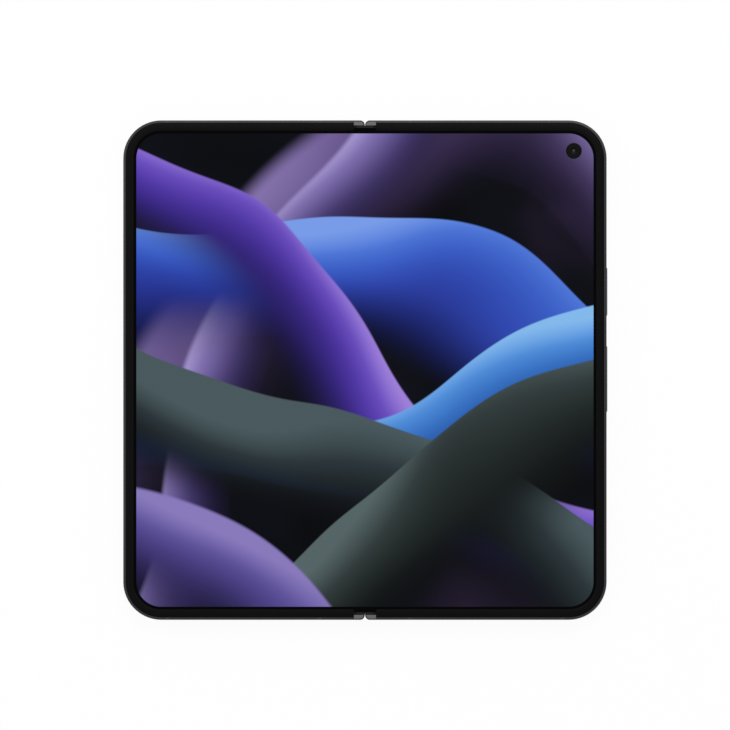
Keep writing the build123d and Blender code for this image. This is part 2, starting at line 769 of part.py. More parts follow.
with BuildPart() as right_frame:
    add(half_blank.part)
    add(antenna_bands.part, mode=Mode.SUBTRACT)
    hinge_pockets(1)
    # Ribs either side of the battery, and bosses that the board hangs from.
    for y0 in (battery_y0 - rib_gap - rib_width, battery_y1 + rib_gap):
        block((battery_x0, battery_x1), (y0, y0 + rib_width), (panel_bay_top + 0.1, cavity_top + 0.1))
    for x in (rail_end + 4, battery_x1 - 4):
        upright(x, battery_y1 + 6, board_boss_radius, (board_top, cavity_top + 0.1))
    upright(rail_end + 4, pocket_y - 5, board_boss_radius, (board_top, cavity_top + 0.1))
    # Camera hole under the display.
    upright(hole_x, hole_y, front_barrel + 0.15, (cavity_top - 0.1, body_thickness), Mode.SUBTRACT)
    # Socket opening in the bottom edge.
    with BuildSketch(cross_section(-half_height)):
        with Locations((port_x, back_z + port_z)):
            SlotOverall(port_width + 2 * fit_gap, port_height + 2 * fit_gap)
    extrude(amount=-(port_recess + port_depth + fit_gap), mode=Mode.SUBTRACT)
    # Loudspeaker and microphone holes beside it.
    for number in range(speaker_holes):
        x = speaker_x + (number - (speaker_holes - 1) / 2) * speaker_pitch
        along_y(x, key_z, 0.5, (-half_height - 1, -pocket_y + 0.1), Mode.SUBTRACT)
    along_y(port_x - 9.0, key_z, 0.45, (-half_height - 1, -pocket_y + 0.1), Mode.SUBTRACT)
    # Key openings in the right edge, with holes for the plungers.
    for centre, length, plungers in (
        (power_centre, power_length, [0]),
        (volume_centre, volume_length, [-1, 1]),
    ):
        with BuildSketch(side_section(key_pocket_x)):
            with Locations((centre, back_z + key_z)):
                SlotOverall(length + 2 * running_gap, key_height + 2 * running_gap)
        extrude(amount=key_depth + 1, mode=Mode.SUBTRACT)
        for plunger in plungers:
            y = centre + plunger * length / 3
            with Locations((key_pocket_x, y, back_z + key_z)):
                Cylinder(plunger_radius + 0.06, 2.0, rotation=(0, 90, 0), mode=Mode.SUBTRACT)
save(right_frame, "right_frame")
save(antenna_bands, "right_antenna_bands")
save_mirrored(antenna_bands, "left_antenna_bands")

tray_door = (tray_centre - tray_door_length / 2, tray_centre + tray_door_length / 2)
tray_front = -half_height + tray_door_depth
tray_play = 0.08
with BuildPart() as left_frame:
    mirror(half_blank.part, about=Plane.YZ)
    mirror(antenna_bands.part, about=Plane.YZ, mode=Mode.SUBTRACT)
    hinge_pockets(-1)
    for y0 in (left_battery_y0 - rib_gap - rib_width, left_battery_y1 + rib_gap):
        rib = across(-1, battery_x0, battery_x1)
        block(rib, (y0, y0 + rib_width), (panel_bay_top + 0.1, cavity_top + 0.1))
    for x in (rail_end + 4, battery_x1 - 4):
        upright(-x, left_battery_y1 + 5, board_boss_radius, (board_top, cavity_top + 0.1))
    # Tray slot: a shallow seat for the door, then a narrower slot for the tray.
    with BuildSketch(cross_section(-half_height)):
        with Locations((tray_centre, back_z + tray_z)):
            SlotOverall(tray_door_length + 2 * tray_play, tray_door_height + 2 * tray_play)
    extrude(amount=-tray_door_depth, mode=Mode.SUBTRACT)
    slot = (tray_centre - tray_width / 2 - tray_play, tray_centre + tray_width / 2 + tray_play)
    thick = (tray_z - tray_thickness / 2 - tray_play, tray_z + tray_thickness / 2 + tray_play)
    block(slot, (tray_front - 0.1, -pocket_y + 0.1), thick, Mode.SUBTRACT)
    pin_hole_x = tray_centre - tray_door_length / 2 - 2.0
    along_y(pin_hole_x, tray_z, 0.45, (-half_height - 1, -pocket_y + 0.1), Mode.SUBTRACT)
    # Earpiece slot in the top edge.
    with BuildSketch(cross_section(half_height)):
        with Locations((-half_width / 2 - 14, back_z + key_z)):
            SlotOverall(9.0, 0.9)
    extrude(amount=side_wall + 0.1, mode=Mode.SUBTRACT)
save(left_frame, "left_frame")

for turn in (1, -1):
    with BuildPart() as corner_inserts:
        for side in module_sides:
            with BuildSketch(level(insert_bottom)):
                insert_outline(turn, side, 0)
            extrude(amount=body_thickness - insert_bottom - 0.02)
        relief = fold_relief.part if turn > 0 else fold_relief.part.mirror(Plane.YZ)
        add(relief, mode=Mode.SUBTRACT)
    save(corner_inserts, f"{side_names[turn]}_corner_inserts")

# ---------------------------------------------------------------- bezels and inner display
with BuildPart() as right_bezel:
    leg_bottom = seat_height + 0.02
    with BuildSketch(level(leg_bottom)):
        half_outline(bezel_inset, bezel_start)
    extrude(amount=body_thickness - leg_bottom)
    with BuildSketch(level(leg_bottom)):
        half_outline(bezel_inset + bezel_leg, bezel_start - 1)
    flange_bottom = body_thickness - flange_thickness
    extrude(amount=flange_bottom - leg_bottom, mode=Mode.SUBTRACT)
    with BuildSketch(level(flange_bottom)):
        half_outline(bezel_inset + bezel_width, bezel_start - 1)
    extrude(amount=flange_thickness + 0.1, mode=Mode.SUBTRACT)
save(right_bezel, "right_bezel")
save_mirrored(right_bezel, "left_bezel")

display_seam = 0.01
with BuildPart() as display_right:
    with BuildSketch(level(display_bottom)):
        half_outline(display_inset, fold_zone + display_seam)
        with Locations((hole_x, hole_y)):
            Circle(hole_radius, mode=Mode.SUBTRACT)
    extrude(amount=display_thickness)
save(display_right, "display_right")

with BuildPart() as display_left:
    with BuildSketch(level(display_bottom)):
        half_outline(display_inset, fold_zone + display_seam)
    extrude(amount=display_thickness)
save_mirrored(display_left, "display_left")

with BuildPart() as display_fold:
    zone = (-fold_zone + display_seam, fold_zone - display_seam)
    half_display = half_height - display_inset
    block(zone, (-half_display, half_display), (display_bottom, display_top))
save(display_fold, "display_fold")

# ---------------------------------------------------------------- camera island and glass
lens_near = island_x - lens_spacing / 2
lens_far = island_x + lens_spacing / 2
lens_low = island_y - lens_spacing / 2
lens_high = island_y + lens_spacing / 2
lens_centres = {
    "wide": (lens_near, lens_high),
    "ultrawide": (lens_near, lens_low),
    "tele": (lens_far, lens_low),
}
flash_centre = (lens_far, lens_high)
island_face = -(island_height - ring_height)
glass_face = island_face - 0.10
glass_seat = glass_face + camera_glass_thickness
barrel_radius = lens_radius + lens_wall

window_height = 2 * (barrel_radius + window_margin)
window_length = lens_spacing + window_height


def camera_windows(grow):
    """The island's two pill-shaped windows, one above the other."""
    with Locations((island_x, lens_high), (island_x, lens_low)):
        SlotOverall(window_length + 2 * grow, window_height + 2 * grow)


with BuildPart() as camera_island:
    with BuildSketch(level(island_face)):
        with Locations((island_x, island_y)):
            RectangleRounded(island_size, island_size, island_radius)
    extrude(amount=-island_face)
    fillet(faces().sort_by(Axis.Z)[0].edges(), 0.5)
    with BuildSketch(level(island_face)):
        camera_windows(fit_gap)
    extrude(amount=glass_seat - island_face, mode=Mode.SUBTRACT)
    with BuildSketch(level(glass_seat)):
        with Locations(*lens_centres.values()):
            Circle(barrel_radius + fit_gap)
        with Locations(flash_centre):
            Circle(flash_radius + fit_gap)
    extrude(amount=-glass_seat, mode=Mode.SUBTRACT)
save(camera_island, "camera_island")

with BuildPart() as camera_glass:
    with BuildSketch(level(glass_face)):
        camera_windows(0)
    extrude(amount=glass_seat - glass_face)
save(camera_glass, "camera_glass")

# Raised rims round the windows, the lowest part of the phone.
with BuildPart() as window_rims:
    with BuildSketch(level(-island_height)):
        camera_windows(fit_gap + ring_width)
    extrude(amount=island_height + island_face)
    with BuildSketch(level(-island_height)):
        camera_windows(fit_gap)
    extrude(amount=island_height + island_face, mode=Mode.SUBTRACT)
save(window_rims, "window_rims")

camera_top = cavity_top - 0.1
for name, centre in lens_centres.items():
    with BuildPart() as rear_camera:
        x, y = centre
        half_block = camera_block / 2
        body = (back_glass_thickness + 0.05, camera_top)
        block((x - half_block, x + half_block), (y - half_block, y + half_block), body)
        upright(x, y, barrel_radius, (glass_seat + 0.05, back_glass_thickness + 0.1))
        # Stepped well down to the front element.
        upright(x, y, lens_radius, (glass_seat - 1, glass_seat + 0.45), Mode.SUBTRACT)
        upright(x, y, lens_radius - 1.2, (glass_seat - 1, glass_seat + 0.9), Mode.SUBTRACT)
    save(rear_camera, f"rear_camera_{name}")

with BuildPart() as flash_lamp:
    upright(*flash_centre, flash_radius, (glass_seat + 0.05, back_glass_thickness + 0.1))
    x, y = flash_centre
    block((x - 2.2, x + 2.2), (y - 2.2, y + 2.2), (back_glass_thickness + 0.05, panel_bay_top))
save(flash_lamp, "flash_lamp")

glass_depth = back_glass_thickness - fit_gap
with BuildPart() as back_glass:
    with BuildSketch(level(0)):
        half_outline(back_inset + fit_gap, back_start + fit_gap, 0.5)
        with Locations(*lens_centres.values()):
            Circle(barrel_radius + fit_gap, mode=Mode.SUBTRACT)
        with Locations(flash_centre):
            Circle(flash_radius + fit_gap, mode=Mode.SUBTRACT)
    extrude(amount=glass_depth)
save(back_glass, "back_glass")

cover_camera_x = half_width / 2
cover_camera_y = half_height - 8.0
cover_camera_radius = 2.0
with BuildPart() as cover_glass:
    with BuildSketch(level(0)):
        half_outline(back_inset + fit_gap, back_start + fit_gap, 0.5)
    extrude(amount=glass_depth)
save_mirrored(cover_glass, "cover_glass")

with BuildPart() as cover_display:
    with BuildSketch(level(back_glass_thickness)):
        half_outline(side_wall + fit_gap, panel_start + fit_gap, 0.5)
        with Locations((cover_camera_x, cover_camera_y)):
            Circle(cover_camera_radius + 0.3, mode=Mode.SUBTRACT)
    extrude(amount=panel_bay_depth)
save_mirrored(cover_display, "cover_display")

# ---------------------------------------------------------------- keys
key_inner_x = half_width - key_depth


def key(centre, length, plungers, name):
    """Rounded key in the right edge with plungers that reach in through the wall."""
    with BuildPart() as cap:
        with BuildSketch(side_section(key_inner_x)):
            with Locations((centre, back_z + key_z)):
                SlotOverall(length, key_height)
        extrude(amount=key_depth + key_proud)
        fillet(faces().sort_by(Axis.X)[-1].edges(), 0.2)
        for plunger in plungers:
            y = centre + plunger * length / 3
            with Locations(((key_inner_x + pocket_x) / 2, y, back_z + key_z)):
                Cylinder(plunger_radius, key_inner_x - pocket_x, rotation=(0, 90, 0))
        if len(plungers) > 1:
            # Upright rib that the key rocks on.
            upright(key_inner_x, centre, rock_radius, (key_z - rock_reach, key_z + rock_reach))
    save(cap, name)


rock_radius = key_pocket_gap - 0.02
rock_reach = key_height / 2 - 0.2
key(power_centre, power_length, [0], "power_button")
key(volume_centre, volume_length, [-1, 1], "volume_rocker")

with BuildPart() as side_key_flex:
    y0 = volume_centre - volume_length / 2
    y1 = power_centre + power_length / 2
    block((pocket_x - 0.75, pocket_x - 0.55), (y0, y1), (panel_bay_top + 0.4, cavity_top - 0.2))
    for y in (power_centre, volume_centre - volume_length / 3, volume_centre + volume_length / 3):
        with Locations((pocket_x - 0.45, y, back_z + key_z)):
            Cylinder(0.9, 0.25, rotation=(0, 90, 0))
save(side_key_flex, "side_key_flex")

# ---------------------------------------------------------------- card tray and its reader
tray_end = tray_front + tray_length
with BuildPart() as sim_tray:
    with BuildSketch(cross_section(-half_height)):
        with Locations((tray_centre, back_z + tray_z)):
            SlotOverall(tray_door_length, tray_door_height)
    extrude(amount=-(tray_door_depth - 0.02))
    plate = (tray_centre - tray_width / 2, tray_centre + tray_width / 2)
    thick = (tray_z - tray_thickness / 2, tray_z + tray_thickness / 2)
    block(plate, (tray_front - 0.1, tray_end), thick)
    # A shallow card seat in each face, and the ejector's pin hole in the door.
    seat = (tray_centre - card_width / 2, tray_centre + card_width / 2)
    card_y = (tray_end - 1.2 - card_length, tray_end - 1.2)
    depth = tray_thickness * 0.4
    block(seat, card_y, (thick[1] - depth, thick[1] + 1), Mode.SUBTRACT)
    block(seat, card_y, (thick[0] - 1, thick[0] + depth), Mode.SUBTRACT)
    pin_x = tray_door[0] + 1.6
    along_y(pin_x, tray_z, 0.4, (-half_height - 1, tray_front - 0.3), Mode.SUBTRACT)
save(sim_tray, "sim_tray")

with BuildPart() as sim_reader:
    reader_wall = 0.2
    outer_x = (slot[0] - reader_wall, slot[1] + reader_wall)
    outer_z = (thick[0] - tray_play - reader_wall, thick[1] + tray_play + reader_wall)
    inner_z = (thick[0] - tray_play, thick[1] + tray_play)
    block(outer_x, (-pocket_y + 0.1, tray_end + 0.6), outer_z)
    block(slot, (-pocket_y, tray_end + 0.3), inner_z, Mode.SUBTRACT)
save(sim_reader, "sim_reader")

# ---------------------------------------------------------------- socket and right-hand insides
port_front = -half_height + port_recess
with BuildPart() as usb_port:
    with BuildSketch(cross_section(port_front)):
        with Locations((port_x, back_z + port_z)):
            SlotOverall(port_width, port_height)
    extrude(amount=-port_depth)
    with BuildSketch(cross_section(port_front)):
        with Locations((port_x, back_z + port_z)):
            SlotOverall(port_width - 2 * port_wall, port_height - 2 * port_wall)
    extrude(amount=-(port_depth - port_wall), mode=Mode.SUBTRACT)
save(usb_port, "usb_port")

with BuildPart() as usb_tongue:
    tongue_end = port_front + port_depth - port_wall
    blade = (port_x - tongue_width / 2, port_x + tongue_width / 2)
    block(blade, (port_front + 0.9, tongue_end), (port_z - 0.35, port_z + 0.35))
    block(blade, (tongue_end - 1.2, tongue_end), (port_z - 0.8, port_z + 0.8))
save(usb_tongue, "usb_tongue")

speaker_width = 18.0
speaker_y = (-pocket_y + 0.2, battery_y0 - rib_gap - rib_width - 0.3)
inner_z = (panel_bay_top + 0.1, cavity_top - 0.1)
with BuildPart() as loudspeaker:
    start = port_x + port_width / 2 + 3.0
    with BuildSketch(level(inner_z[0])):
        half_outline(side_wall + 0.3, start, 0.6)
        with Locations((half_width, speaker_y[1] + open_height)):
            Rectangle(open_width, 2 * open_height, mode=Mode.SUBTRACT)
    extrude(amount=inner_z[1] - inner_z[0])
save(loudspeaker, "loudspeaker")

with BuildPart() as haptic_motor:
    motor_x = (rail_end + 0.8, port_x - port_width / 2 - 4.5)
    block(motor_x, (speaker_y[0] + 2.5, speaker_y[1]), inner_z)
    fillet(edges().filter_by(Axis.Z), 0.8)
save(haptic_motor, "haptic_motor")

battery_z = (panel_bay_top + 0.05, cavity_top - 0.15)
with BuildPart() as right_battery:
    block((battery_x0, battery_x1), (battery_y0, battery_y1), battery_z)
    fillet(edges().filter_by(Axis.Z), 1.5)
save(right_battery, "right_battery")

coil_x = (battery_x0 + battery_x1) / 2
coil_y = (battery_y0 + battery_y1) / 2
with BuildPart() as charging_coil:
    coil_z = (back_glass_thickness, back_glass_thickness + coil_thickness)
    upright(coil_x, coil_y, coil_outer, coil_z)
    upright(coil_x, coil_y, coil_inner, (0, body_thickness), Mode.SUBTRACT)
save(charging_coil, "charging_coil")

board_y0 = battery_y1 + rib_gap + rib_width + 0.5
camera_x0 = lens_near - camera_block / 2 - 0.4
camera_y0 = lens_low - camera_block / 2 - 0.4
board_z = (board_height, board_top)
with BuildPart() as main_board:
    block((rail_end + 0.6, battery_x1), (board_y0, camera_y0), board_z)
    block((rail_end + 0.6, camera_x0), (camera_y0, pocket_y - 0.8), board_z)
save(main_board, "main_board")

can_height = (board_top, cavity_top - 0.15)
can_gap = 0.6
boss_room = board_boss_radius + 0.5
with BuildPart() as shield_cans:
    can_x0 = rail_end + 4 + boss_room
    can_x1 = battery_x1 - 4 - boss_room
    can_middle = (can_x0 + can_x1) / 2
    low = (board_y0 + 1, camera_y0 - 1)
    block((can_x0, can_middle - can_gap), low, can_height)
    block((can_middle + can_gap, can_x1), low, can_height)
    block((can_x0, camera_x0 - 1), (camera_y0 + 1, pocket_y - 2), can_height)
    fillet(edges().filter_by(Axis.Z), 0.5)
save(shield_cans, "shield_cans")

with BuildPart() as front_camera:
    base = 3.2
    step = (board_height, cavity_top - 0.05)
    block((hole_x - base, hole_x + base), (hole_y - base, hole_y + base), step)
    upright(hole_x, hole_y, front_barrel, (cavity_top - 0.1, display_top - 0.15))
    upright(hole_x, hole_y, 1.1, (display_top - 0.6, display_top), Mode.SUBTRACT)
save(front_camera, "front_camera")

# ---------------------------------------------------------------- left-hand insides
with BuildPart() as left_battery:
    span = across(-1, battery_x0, battery_x1)
    block(span, (left_battery_y0, left_battery_y1), battery_z)
    fillet(edges().filter_by(Axis.Z), 1.5)
save(left_battery, "left_battery")

left_board_y0 = left_battery_y1 + rib_gap + rib_width + 0.5
with BuildPart() as left_board:
    span = across(-1, rail_end + 0.6, battery_x1)
    block(span, (left_board_y0, cover_camera_y - 4.5), board_z)
    along = (left_board_y0 + 2.0, cover_camera_y - 5.5)
    chips = across(-1, rail_end + 4 + boss_room, battery_x1 - 4 - boss_room)
    block(chips, along, (board_top - 0.05, board_top + 0.7))
save(left_board, "left_board")

with BuildPart() as cover_camera:
    base = (panel_bay_top + 0.1, cavity_top - 0.2)
    x = -cover_camera_x
    block((x - 3.0, x + 3.0), (cover_camera_y - 3.0, cover_camera_y + 3.0), base)
    upright(x, cover_camera_y, cover_camera_radius, (back_glass_thickness, base[0] + 0.1))
save(cover_camera, "cover_camera")

with BuildPart() as earpiece_speaker:
    x = -half_width / 2 - 14
    block((x - 7, x + 7), (cover_camera_y - 3.5, pocket_y - 0.3), inner_z)
    fillet(edges().filter_by(Axis.Z), 0.8)
save(earpiece_speaker, "earpiece_speaker")

# Magnets along the far edges hold the phone closed.
magnet_x = pocket_x - 0.1 - magnet_width
magnet_places = [battery_y0 + 29.1, battery_y0 + 10.1]
for turn in (1, -1):
    with BuildPart() as magnets:
        for y in magnet_places:
            span = across(turn, magnet_x, magnet_x + magnet_width)
            block(span, (y - magnet_length / 2, y + magnet_length / 2), inner_z)
    save(magnets, f"{side_names[turn]}_magnets")

with BuildPart() as bridge_flex:
    reach = battery_x0 - 0.2
    height = (bridge_bottom - 0.02, bridge_bottom - 0.02 + flex_thickness)
    block((-reach, reach), (-flex_half_width, flex_half_width), height)
save(bridge_flex, "bridge_flex")
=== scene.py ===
"""Looks of a book-style folding phone: studio, screen picture, outside pieces and inner works."""

import math

import bmesh
import bpy
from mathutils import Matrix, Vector


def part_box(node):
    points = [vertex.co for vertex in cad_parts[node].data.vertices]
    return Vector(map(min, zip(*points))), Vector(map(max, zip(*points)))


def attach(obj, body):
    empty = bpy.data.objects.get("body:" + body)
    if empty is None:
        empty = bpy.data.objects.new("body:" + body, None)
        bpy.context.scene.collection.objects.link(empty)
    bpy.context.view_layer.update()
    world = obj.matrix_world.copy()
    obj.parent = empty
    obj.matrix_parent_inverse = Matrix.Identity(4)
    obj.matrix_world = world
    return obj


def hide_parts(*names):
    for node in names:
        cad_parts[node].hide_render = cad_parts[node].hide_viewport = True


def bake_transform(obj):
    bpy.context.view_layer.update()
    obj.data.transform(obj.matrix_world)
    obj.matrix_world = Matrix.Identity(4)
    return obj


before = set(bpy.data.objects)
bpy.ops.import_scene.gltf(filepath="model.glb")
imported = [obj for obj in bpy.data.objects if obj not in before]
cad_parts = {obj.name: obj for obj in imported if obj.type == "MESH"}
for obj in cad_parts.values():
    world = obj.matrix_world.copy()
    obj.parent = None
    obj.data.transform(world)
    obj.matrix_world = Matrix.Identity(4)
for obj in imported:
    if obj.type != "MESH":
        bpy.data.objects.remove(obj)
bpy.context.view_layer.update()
MM = 0.001

# ------------------------------------------------------------------ studio
# The phone lies on its back on a white table, seen from straight above with a long lens. Two
# wide soft lamps stand beyond its top edge and at its left, so a faint shadow falls below it.
scene = bpy.context.scene
scene.view_settings.view_transform = "Standard"


def join(tree, source, target):
    """Link an output socket to an input socket."""
    tree.links.new(source, target)


def seen_directly(tree):
    """1 for camera, glossy and transmitted rays, which see the plain white surroundings."""
    path = tree.nodes.new("ShaderNodeLightPath")
    total = path.outputs["Is Camera Ray"]
    for ray in ("Is Glossy Ray", "Is Transmission Ray"):
        either = tree.nodes.new("ShaderNodeMath")
        either.operation = "MAXIMUM"
        join(tree, total, either.inputs[0])
        join(tree, path.outputs[ray], either.inputs[1])
        total = either.outputs[0]
    return total


world = bpy.data.worlds.new("studio_air")
world.use_nodes = True
scene.world = world
air = world.node_tree
air.nodes.clear()
strength = air.nodes.new("ShaderNodeMapRange")
strength.inputs["To Min"].default_value = 0.62
strength.inputs["To Max"].default_value = 1.0
backdrop = air.nodes.new("ShaderNodeBackground")
air_out = air.nodes.new("ShaderNodeOutputWorld")
join(air, seen_directly(air), strength.inputs["Value"])
join(air, strength.outputs[0], backdrop.inputs["Strength"])
join(air, backdrop.outputs[0], air_out.inputs["Surface"])
backdrop.inputs["Color"].default_value = (1, 1, 1, 1)

bpy.ops.object.select_all(action="DESELECT")
bpy.ops.mesh.primitive_plane_add(size=6, location=(0, 0, 0))
table = bpy.context.object
table.name = "table"
table_paint = bpy.data.materials.new("table_white")
table_paint.use_nodes = True
paint = table_paint.node_tree
paint.nodes.clear()
matt = paint.nodes.new("ShaderNodeBsdfDiffuse")
matt.inputs["Color"].default_value = (0.93, 0.93, 0.93, 1)
glow = paint.nodes.new("ShaderNodeEmission")
share = paint.nodes.new("ShaderNodeMath")
share.operation = "MULTIPLY"
share.inputs[1].default_value = 0.94
over = paint.nodes.new("ShaderNodeMixShader")
paint_out = paint.nodes.new("ShaderNodeOutputMaterial")
join(paint, seen_directly(paint), share.inputs[0])
join(paint, share.outputs[0], over.inputs["Fac"])
join(paint, matt.outputs[0], over.inputs[1])
join(paint, glow.outputs[0], over.inputs[2])
# From below the table is clear, so that the phone's back can be looked at.
facing = paint.nodes.new("ShaderNodeNewGeometry")
clear = paint.nodes.new("ShaderNodeBsdfTransparent")
sheer = paint.nodes.new("ShaderNodeMixShader")
join(paint, facing.outputs["Backfacing"], sheer.inputs["Fac"])
join(paint, over.outputs[0], sheer.inputs[1])
join(paint, clear.outputs[0], sheer.inputs[2])
join(paint, sheer.outputs[0], paint_out.inputs["Surface"])
table.data.materials.append(table_paint)

for lamp_name, place, size, power in (
    ("lamp_top", (0.15, 0.75, 1.0), 0.9, 7.0),
    ("lamp_left", (-0.9, 0.25, 0.9), 0.7, 3.0),
):
    bpy.ops.object.light_add(type="AREA", location=place)
    lamp = bpy.context.object
    lamp.name = lamp_name
    lamp.data.size = size
    lamp.data.energy = power
    lamp.rotation_euler = (-Vector(place)).to_track_quat("-Z", "Y").to_euler()

bpy.ops.object.camera_add(location=(0.00002, 0.00159, 1.20724))
camera = bpy.context.object
camera.data.sensor_width = 36
camera.data.lens = 190.5
scene.camera = camera

# ------------------------------------------------------------------ folding screen
# One flexible panel under a hard film, bonded to both halves and free over the hinge, where it
# bends between the spine and each half. It is made as two halves that meet on the fold line.
panel_top, panel_under = 7.24, 6.60
panel_half_width, panel_half_height, panel_radius = 72.7, 75.2, 9.4
border_width = 1.7


def select_only(obj):
    """Make one object active and the only one selected."""
    bpy.ops.object.select_all(action="DESELECT")
    bpy.context.view_layer.objects.active = obj
    obj.select_set(True)


def edit(obj, selection="DESELECT"):
    """Open one object's mesh in edit mode with none of it selected, or all of it."""
    select_only(obj)
    bpy.ops.object.mode_set(mode="EDIT")
    bpy.ops.mesh.select_all(action=selection)


def pick(obj, kind, test):
    """In edit mode, select the vertices, edges or faces whose middle passes a test, in mm."""
    bpy.ops.mesh.select_mode(type={"verts": "VERT", "edges": "EDGE", "faces": "FACE"}[kind])
    mesh = bmesh.from_edit_mesh(obj.data)
    for part in getattr(mesh, kind):
        if kind == "verts":
            middle = part.co
        elif kind == "edges":
            middle = (part.verts[0].co + part.verts[1].co) / 2
        else:
            middle = part.calc_center_median()
        part.select_set(test(middle / MM, part))
    mesh.select_flush_mode()
    bmesh.update_edit_mesh(obj.data)


def settle(obj, smooth_angle=30):
    """Leave edit mode, move the object's place into its mesh, and smooth its round faces."""
    if obj.mode == "EDIT":
        bpy.ops.object.mode_set(mode="OBJECT")
    select_only(obj)
    bpy.ops.object.transform_apply(location=True, rotation=True, scale=True)
    if smooth_angle:
        bpy.ops.object.shade_smooth_by_angle(angle=math.radians(smooth_angle))


def cut_out(obj, cutter):
    """Take one solid away from another with a Boolean modifier, and remove the cutter."""
    select_only(obj)
    tool = obj.modifiers.new("cut", "BOOLEAN")
    tool.operation = "DIFFERENCE"
    tool.solver = "EXACT"
    tool.object = cutter
    bpy.ops.object.modifier_apply(modifier=tool.name)
    bpy.data.objects.remove(cutter)


def rounded_plate(name, half_x, half_y, radius, z, segments=24):
    """Flat rounded rectangle about the origin at a height, one face, all in mm."""
    bpy.ops.object.select_all(action="DESELECT")
    bpy.ops.mesh.primitive_plane_add(size=2, location=(0, 0, z * MM))
    plate = bpy.context.object
    plate.name = plate.data.name = name
    plate.scale = (half_x * MM, half_y * MM, 1)
    bpy.ops.object.transform_apply(location=True, rotation=True, scale=True)
    edit(plate, "SELECT")
    bpy.ops.mesh.bevel(
        offset=radius * MM, segments=segments, affect="VERTICES", offset_type="OFFSET"
    )
    return plate


def round_bar(x, y, z, radius, depth):
    """Upright cylinder about a point, in mm."""
    bpy.ops.object.select_all(action="DESELECT")
    bpy.ops.mesh.primitive_cylinder_add(
        vertices=64, radius=radius * MM, depth=depth * MM, location=(x * MM, y * MM, z * MM)
    )
    return bpy.context.object


def thicken(depth):
    """In edit mode, draw an open mesh out along z by a depth in mm, which makes it a solid."""
    bpy.ops.mesh.select_all(action="SELECT")
    bpy.ops.mesh.extrude_region_move(TRANSFORM_OT_translate={"value": (0, 0, depth * MM)})
    bpy.ops.mesh.select_all(action="SELECT")
    bpy.ops.mesh.normals_make_consistent(inside=False)


def keep_side(side, x, fill=False):
    """In edit mode, keep what lies beyond a distance in mm from the middle, on one side."""
    bpy.ops.mesh.select_all(action="SELECT")
    bpy.ops.mesh.bisect(
        plane_co=(side * x * MM, 0, 0), plane_no=(side, 0, 0), clear_inner=True, use_fill=fill
    )


def score(x):
    """In edit mode, cut a line of edges through the whole mesh at x, in mm."""
    bpy.ops.mesh.select_all(action="SELECT")
    bpy.ops.mesh.bisect(plane_co=(x * MM, 0, 0), plane_no=(1, 0, 0))


class Recipe:
    """A node material with one main shader, built up node by node."""

    def __init__(self, name, **sockets):
        self.material = bpy.data.materials.new(name)
        self.material.use_nodes = True
        self.tree = self.material.node_tree
        self.shader = self.tree.nodes["Principled BSDF"]
        for socket, value in sockets.items():
            self.shader.inputs[socket.replace("_", " ")].default_value = value

    def node(self, kind, inputs=(), **settings):
        """Add a node with its settings; inputs are numbers, colours or other sockets."""
        made = self.tree.nodes.new("ShaderNode" + kind)
        for setting, value in settings.items():
            setattr(made, setting, value)
        for socket, value in dict(inputs).items():
            if isinstance(value, bpy.types.NodeSocket):
                join(self.tree, value, made.inputs[socket])
            else:
                made.inputs[socket].default_value = value
        return made

    def math(self, operation, a, b=0.0, c=0.0):
        """Result of one calculation on up to three values."""
        return self.node("Math", {0: a, 1: b, 2: c}, operation=operation).outputs[0]

    def noise(self, at, scale, **more):
        """Cloudy noise at a place; more are the node's other sockets."""
        return self.node("TexNoise", {"Vector": at, "Scale": scale, **more}).outputs["Fac"]

    def spread(self, value, low, high, to_low, to_high, **settings):
        """Map one range of a value onto another, and hold it within that."""
        ends = {0: value, 1: low, 2: high, 3: to_low, 4: to_high}
        return self.node("MapRange", ends, **settings).outputs[0]

    def ramp(self, value, stops, ease="EASE"):
        """Colour ramp from (place, colour) stops."""
        made = self.node("ValToRGB", {0: value})
        band = made.color_ramp
        band.interpolation = ease
        band.elements[0].position, band.elements[1].position = stops[0][0], stops[-1][0]
        for place, _ in stops[1:-1]:
            band.elements.new(place)
        for element, (_, colour) in zip(band.elements, stops):
            element.color = (*colour, 1)
        return made.outputs[0]

    def mix(self, factor, a, b):
        """Colour a where the factor is 0, and colour b where it is 1."""
        made = self.node("Mix", data_type="RGBA")
        for socket, value in ((0, factor), (6, a), (7, b)):
            if isinstance(value, bpy.types.NodeSocket):
                join(self.tree, value, made.inputs[socket])
            else:
                made.inputs[socket].default_value = value if socket == 0 else (*value[:3], 1)
        return made.outputs[2]

    def feed(self, socket, source):
        """Join a source to one of the main shader's sockets."""
        join(self.tree, source, self.shader.inputs[socket])


def paint_colour(text):
    """Linear colour from a hex code as an artist writes it."""
    shares = [int(text[i : i + 2], 16) / 255 for i in (0, 2, 4)]
    return tuple(s / 12.92 if s <= 0.04045 else ((s + 0.055) / 1.055) ** 2.4 for s in shares)


# The picture is a generic set of soft overlapping waves in the colours of a dusk sky.
screen_light = Recipe(
    "screen_light",
    Base_Color=(0.001, 0.001, 0.001, 1),
    Roughness=0.09,
    Specular_IOR_Level=0.03,
    Emission_Strength=1.0,
)
sheet_uv = screen_light.node("TexCoord").outputs["UV"]
drift = screen_light.node(
    "TexNoise", {"Vector": sheet_uv, "Scale": 1.5, "Detail": 1.0, "Roughness": 0.4}
).outputs["Color"]
swirl = screen_light.node(
    "VectorMath", {0: drift, 1: (0.5, 0.5, 0.5)}, operation="SUBTRACT"
).outputs[0]
swirl = screen_light.node("VectorMath", {0: swirl, 3: 0.22}, operation="SCALE").outputs[0]
flow = screen_light.node("VectorMath", {0: sheet_uv, 1: swirl}, operation="ADD").outputs[0]

